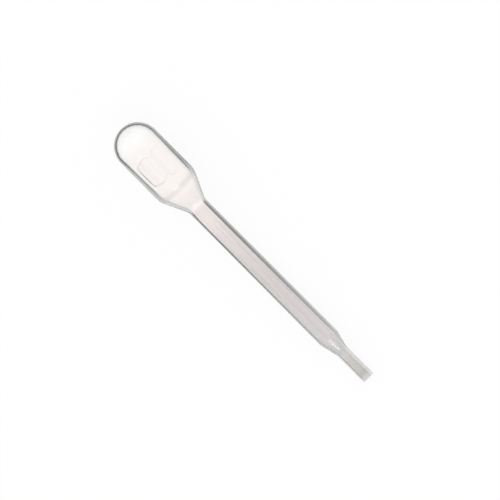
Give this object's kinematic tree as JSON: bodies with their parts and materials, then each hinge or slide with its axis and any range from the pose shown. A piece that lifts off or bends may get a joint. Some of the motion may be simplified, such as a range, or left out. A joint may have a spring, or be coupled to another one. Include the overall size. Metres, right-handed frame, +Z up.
{
  "type": "dropper pipette",
  "caption": "Hollow one-piece dropper pipette of soft clear plastic: a squeeze bulb with two finger flats, a conical shoulder, a long stem and a narrow open tip.",
  "frame": {"origin": "on the level surface that the pipette lies on, below the middle of its bounding box", "axes": "+Z up, +X along the pipette from the bulb towards the tip. The pipette's own axis leans 3.41 degrees down towards the tip, because it rests on its shoulder and on the end of its stem. One finger flat faces up and the other down"},
  "size_m": [0.065, 0.009, 0.0095],
  "materials": {
    "clear_plastic": "natural polyethylene, clear in the thin bulb and faintly milky in the stem and tip, glossy"
  },
  "bodies": {
    "root": {"dropper_pipette": "clear_plastic"}
  },
  "joints": []
}
